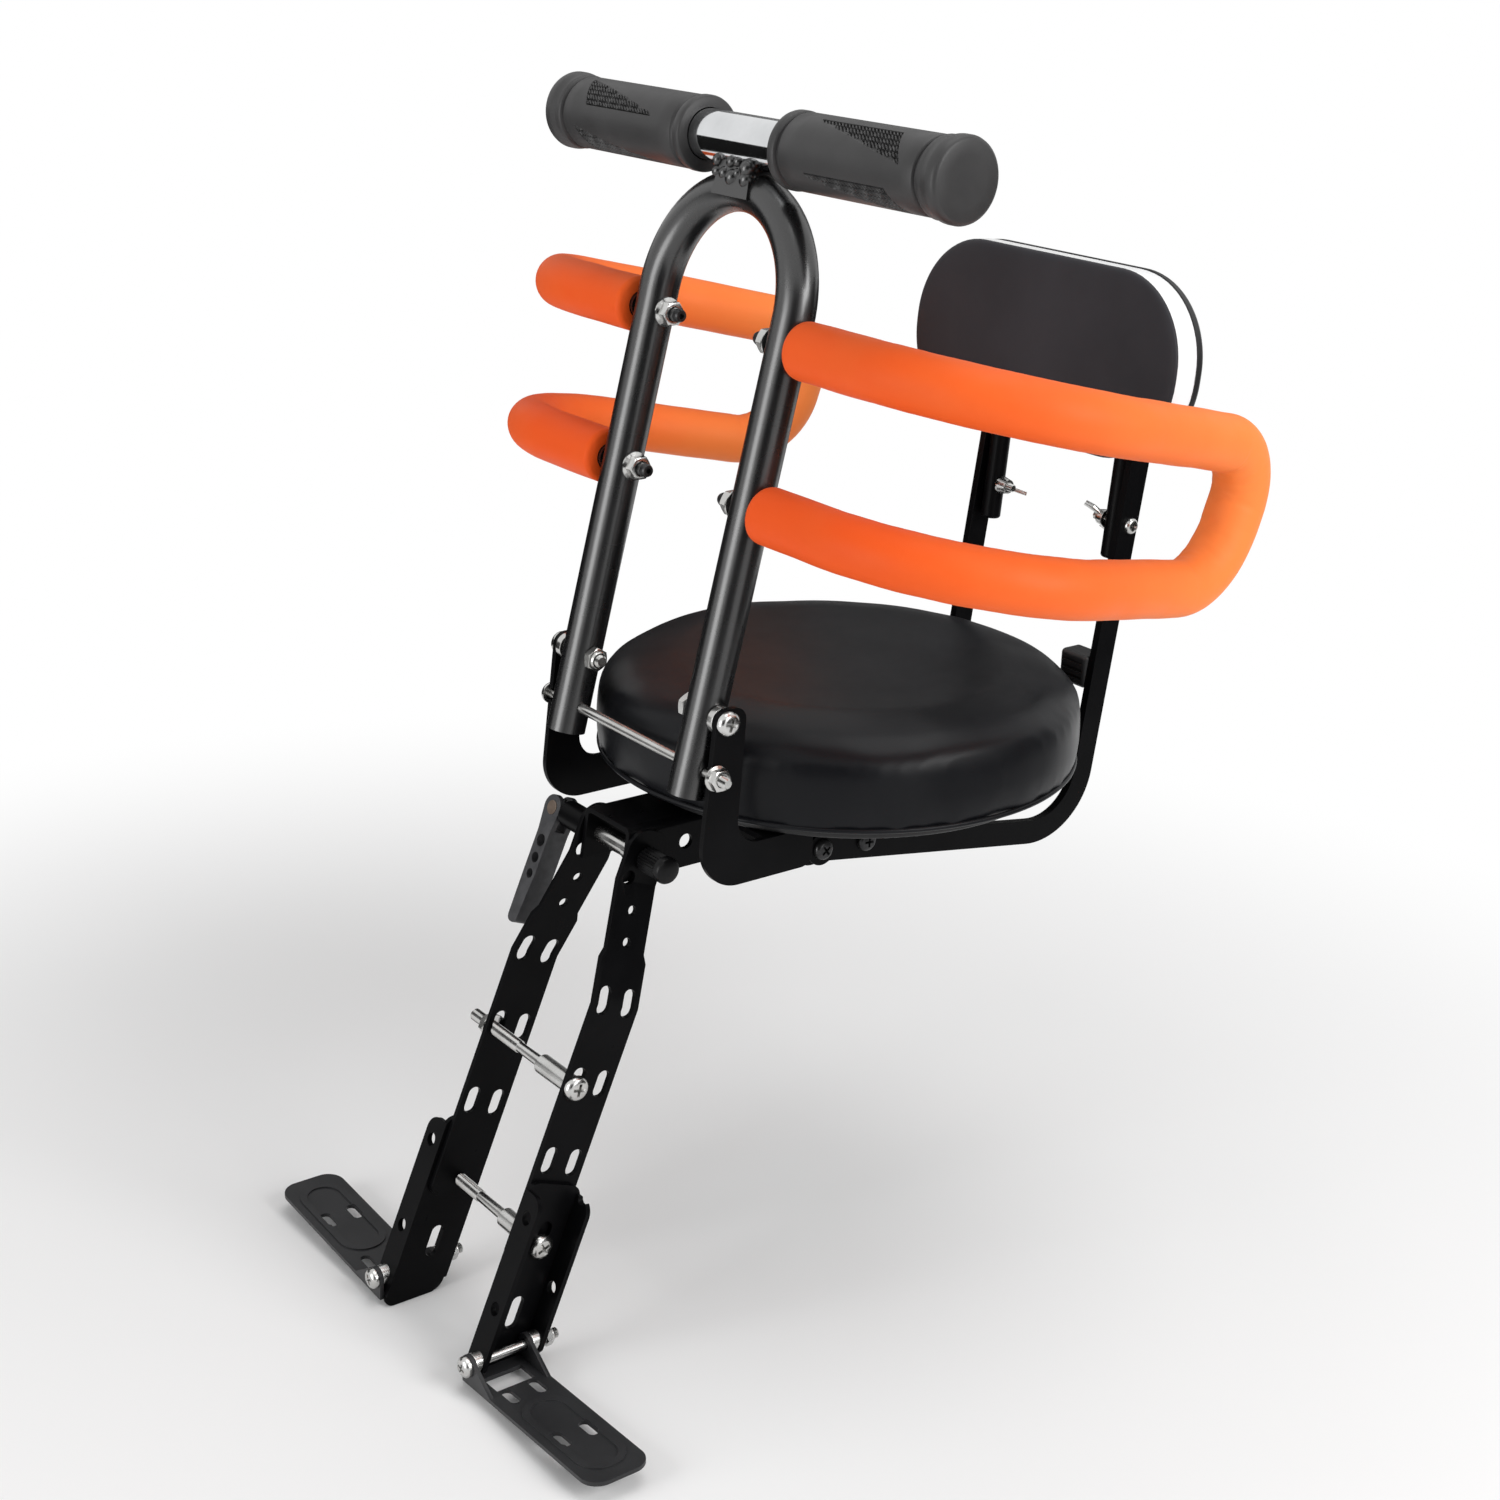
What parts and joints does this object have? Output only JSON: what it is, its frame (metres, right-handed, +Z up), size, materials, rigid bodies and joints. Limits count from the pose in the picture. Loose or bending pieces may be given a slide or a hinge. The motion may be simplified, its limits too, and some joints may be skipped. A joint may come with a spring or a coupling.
{
  "type": "child bike seat",
  "caption": "Front-mounted child seat with a round cushion, small backrest, folding handle loop with padded side guards, clamp legs and folding footrests.",
  "frame": {"origin": "between the lower edges of the saddle channel, below the quick-release skewer", "axes": "-Y to the front of the bicycle, +X to its left side, +Z up"},
  "size_m": [0.371, 0.3824, 0.5514],
  "materials": {
    "black_steel": "satin black powder coat on bent steel",
    "footrest_steel": "satin charcoal-black coat on pressed steel",
    "zinc_steel": "bright zinc plate",
    "handlebar_chrome": "polished chrome plate",
    "guard_foam": "closed-cell orange foam sleeve with a dull skin",
    "grip_rubber": "moulded dark grey rubber",
    "cushion_leather": "black grained artificial leather over foam",
    "backrest_cover": "charcoal artificial leather face with a white side band",
    "backrest_shell": "black moulded shell",
    "board_plastic": "black moulded board",
    "strap_plastic": "black ribbed block",
    "lever_alloy": "grey cast alloy",
    "nut_black": "black knurled adjusting nut",
    "lever_pin": "bronze-brown plated pin"
  },
  "bodies": {
    "seat_frame": {"backrest_pad": "backrest_cover", "backrest_screws": "zinc_steel", "backrest_shell": "backrest_shell", "backrest_tube_left": "black_steel", "backrest_tube_right": "black_steel", "board_screws": "zinc_steel", "clamp_bolts": "zinc_steel", "clamp_nuts": "zinc_steel", "clamp_sleeves": "zinc_steel", "cushion": "cushion_leather", "foot_bracket_left": "black_steel", "foot_bracket_right": "black_steel", "footrest_bushes": "zinc_steel", "footrest_nuts": "zinc_steel", "footrest_pins": "zinc_steel", "leg_left": "black_steel", "leg_right": "black_steel", "pivot_bolts": "zinc_steel", "pivot_nuts": "zinc_steel", "pivot_spacers": "zinc_steel", "qr_bush": "black_steel", "qr_nut": "nut_black", "qr_pin": "lever_pin", "qr_skewer": "zinc_steel", "qr_sleeve": "zinc_steel", "rear_bar_bolts": "zinc_steel", "rear_bar_left": "black_steel", "rear_bar_nuts": "zinc_steel", "rear_bar_right": "black_steel", "saddle_channel": "black_steel", "seat_board": "board_plastic", "seat_bracket": "black_steel", "strap_block": "strap_plastic", "wing_nuts": "zinc_steel", "wing_screws": "zinc_steel"},
    "handle": {"handle_loop": "black_steel", "handlebar": "handlebar_chrome", "grip_left": "grip_rubber", "grip_right": "grip_rubber", "guard_bar_left": "black_steel", "guard_bar_right": "black_steel", "guard_foam_left": "guard_foam", "guard_foam_right": "guard_foam", "guard_nuts": "zinc_steel", "cross_rod": "zinc_steel", "cross_rod_nut": "zinc_steel"},
    "quick_release_lever": {"qr_lever": "lever_alloy"},
    "left_footrest": {"footrest_left": "footrest_steel"},
    "right_footrest": {"footrest_right": "footrest_steel"}
  },
  "joints": [
    {"name": "handle_fold", "type": "hinge", "parent": "seat_frame", "child": "handle", "pos_m": [0, 0.01, 0.0863], "axis": [-1, 0, 0], "range_deg": [0, 46]},
    {"name": "lever_open", "type": "hinge", "parent": "seat_frame", "child": "quick_release_lever", "pos_m": [-0.0492, 0, 0.0105], "axis": [0, 0.9272, -0.3746], "range_deg": [0, 90]},
    {"name": "left_footrest_fold", "type": "hinge", "parent": "seat_frame", "child": "left_footrest", "pos_m": [0.0425, -0.08616, -0.20275], "axis": [0, -1, 0], "range_deg": [0, 86]},
    {"name": "right_footrest_fold", "type": "hinge", "parent": "seat_frame", "child": "right_footrest", "pos_m": [-0.0425, -0.08616, -0.20275], "axis": [0, 1, 0], "range_deg": [0, 86]}
  ]
}
